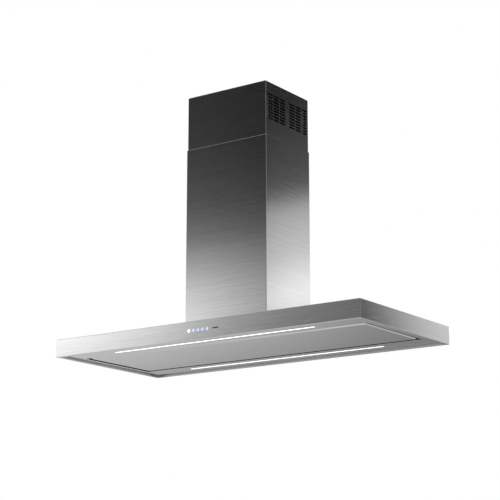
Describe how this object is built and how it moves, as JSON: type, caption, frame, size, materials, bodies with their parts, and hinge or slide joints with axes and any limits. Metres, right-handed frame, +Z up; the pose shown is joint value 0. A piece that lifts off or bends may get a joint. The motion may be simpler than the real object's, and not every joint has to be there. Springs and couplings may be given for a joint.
{
  "type": "island range hood",
  "caption": "Ceiling-hung island range hood: flat brushed-steel canopy with perimeter suction panel and strip lamps under a telescopic chimney with side vents.",
  "frame": {"origin": "centre of the ceiling plate's top face, where the hood meets the ceiling", "axes": "+Z up towards the ceiling, +X along the canopy, -Y is the front with the controls"},
  "size_m": [1.2, 0.5505, 0.875],
  "materials": {
    "brushed_steel": "horizontal brush",
    "galvanised_steel": "spangled zinc",
    "zinc_fastener": "bright zinc plate",
    "aluminium": "mill finish",
    "duct_foil": "crinkled foil",
    "black_plastic": "fine grain",
    "grey_plastic": "fine grain",
    "dark_lens": "gloss",
    "lamp_diffuser": "opal, lit",
    "circuit_board": "solder mask",
    "lit_white": "lit",
    "lit_blue": "lit"
  },
  "bodies": {
    "ceiling_mount": {"ceiling_plate": "galvanised_steel", "air_deflector": "grey_plastic", "upper_chimney_cover": "brushed_steel", "flexible_duct": "duct_foil", "frame_brace_front": "galvanised_steel", "frame_brace_back": "galvanised_steel", "upper_leg_1": "galvanised_steel", "upper_leg_2": "galvanised_steel", "upper_leg_3": "galvanised_steel", "upper_leg_4": "galvanised_steel", "leg_bolt_1": "zinc_fastener", "leg_bolt_2": "zinc_fastener", "leg_bolt_3": "zinc_fastener", "leg_bolt_4": "zinc_fastener", "cover_screw_left": "zinc_fastener", "cover_screw_right": "zinc_fastener"},
    "hood": {"canopy_shell": "brushed_steel", "light_frame": "brushed_steel", "suction_collar": "brushed_steel", "led_diffuser_front": "lamp_diffuser", "led_diffuser_back": "lamp_diffuser", "led_channel_front": "aluminium", "led_channel_back": "aluminium", "plenum_box": "galvanised_steel", "base_frame": "galvanised_steel", "blower_box": "galvanised_steel", "blower_housing": "black_plastic", "blower_motor": "galvanised_steel", "outlet_collar": "black_plastic", "power_box": "grey_plastic", "terminal_box": "grey_plastic", "cable_gland": "black_plastic", "control_housing": "black_plastic", "control_board": "circuit_board", "receiver_window": "dark_lens", "hinge_pin_left": "zinc_fastener", "hinge_pin_right": "zinc_fastener", "magnet_catch_left": "black_plastic", "magnet_catch_right": "black_plastic", "lower_leg_1": "galvanised_steel", "lower_leg_2": "galvanised_steel", "lower_leg_3": "galvanised_steel", "lower_leg_4": "galvanised_steel"},
    "lower_cover": {"lower_chimney_cover": "brushed_steel"},
    "panel": {"perimeter_panel": "brushed_steel"},
    "blower_wheel": {"impeller": "grey_plastic"},
    "flap_left": {"damper_flap_left": "black_plastic"},
    "flap_right": {"damper_flap_right": "black_plastic"},
    "power_key": {"power_button": "lit_white"},
    "control_key_1": {"key_1": "lit_blue"},
    "control_key_2": {"key_2": "lit_blue"},
    "control_key_3": {"key_3": "lit_blue"},
    "control_key_4": {"key_4": "lit_blue"},
    "filter_left": {"grease_filter_left": "aluminium"},
    "latch_left": {"filter_latch_left": "zinc_fastener"},
    "filter_middle": {"grease_filter_middle": "aluminium"},
    "latch_middle": {"filter_latch_middle": "zinc_fastener"},
    "filter_right": {"grease_filter_right": "aluminium"},
    "latch_right": {"filter_latch_right": "zinc_fastener"}
  },
  "joints": [
    {"name": "height_adjust", "type": "slide", "parent": "ceiling_mount", "child": "hood", "axis": [0, 0, 1], "range_m": [-0.2, 0.06], "deforming": ["flexible_duct"]},
    {"name": "lower_cover_lift", "type": "slide", "parent": "hood", "child": "lower_cover", "axis": [0, 0, 1], "range_m": [0, 0.1]},
    {"name": "panel_hinge", "type": "hinge", "parent": "hood", "child": "panel", "pos_m": [0, 0.15, -0.858], "axis": [1, 0, 0], "range_deg": [0, 85]},
    {"name": "impeller_spin", "type": "hinge", "parent": "hood", "child": "blower_wheel", "pos_m": [0, 0, -0.712], "axis": [1, 0, 0], "continuous": true},
    {"name": "flap_left_hinge", "type": "hinge", "parent": "hood", "child": "flap_left", "pos_m": [0, 0, -0.575], "axis": [0, 1, 0], "range_deg": [0, 70]},
    {"name": "flap_right_hinge", "type": "hinge", "parent": "hood", "child": "flap_right", "pos_m": [0, 0, -0.575], "axis": [0, -1, 0], "range_deg": [0, 70]},
    {"name": "power_button_press", "type": "slide", "parent": "hood", "child": "power_key", "axis": [0, 1, 0], "range_m": [0, 0.001], "stiffness_N_per_m": 600, "springref_m": -0.001},
    {"name": "key_1_press", "type": "slide", "parent": "hood", "child": "control_key_1", "axis": [0, 1, 0], "range_m": [0, 0.001], "stiffness_N_per_m": 600, "springref_m": -0.001},
    {"name": "key_2_press", "type": "slide", "parent": "hood", "child": "control_key_2", "axis": [0, 1, 0], "range_m": [0, 0.001], "stiffness_N_per_m": 600, "springref_m": -0.001},
    {"name": "key_3_press", "type": "slide", "parent": "hood", "child": "control_key_3", "axis": [0, 1, 0], "range_m": [0, 0.001], "stiffness_N_per_m": 600, "springref_m": -0.001},
    {"name": "key_4_press", "type": "slide", "parent": "hood", "child": "control_key_4", "axis": [0, 1, 0], "range_m": [0, 0.001], "stiffness_N_per_m": 600, "springref_m": -0.001},
    {"name": "filter_left_drop", "type": "hinge", "parent": "hood", "child": "filter_left", "pos_m": [0, 0.133, -0.852], "axis": [1, 0, 0], "range_deg": [0, 51]},
    {"name": "latch_left_pull", "type": "slide", "parent": "filter_left", "child": "latch_left", "axis": [0, 1, 0], "range_m": [0, 0.004], "stiffness_N_per_m": 400, "springref_m": -0.003},
    {"name": "filter_middle_drop", "type": "hinge", "parent": "hood", "child": "filter_middle", "pos_m": [0, 0.133, -0.852], "axis": [1, 0, 0], "range_deg": [0, 51]},
    {"name": "latch_middle_pull", "type": "slide", "parent": "filter_middle", "child": "latch_middle", "axis": [0, 1, 0], "range_m": [0, 0.004], "stiffness_N_per_m": 400, "springref_m": -0.003},
    {"name": "filter_right_drop", "type": "hinge", "parent": "hood", "child": "filter_right", "pos_m": [0, 0.133, -0.852], "axis": [1, 0, 0], "range_deg": [0, 51]},
    {"name": "latch_right_pull", "type": "slide", "parent": "filter_right", "child": "latch_right", "axis": [0, 1, 0], "range_m": [0, 0.004], "stiffness_N_per_m": 400, "springref_m": -0.003}
  ],
  "couplings": [
    {"joint": "filter_left_drop", "follows": "panel_hinge", "ratio": 0.6},
    {"joint": "filter_middle_drop", "follows": "panel_hinge", "ratio": 0.6},
    {"joint": "filter_right_drop", "follows": "panel_hinge", "ratio": 0.6}
  ]
}
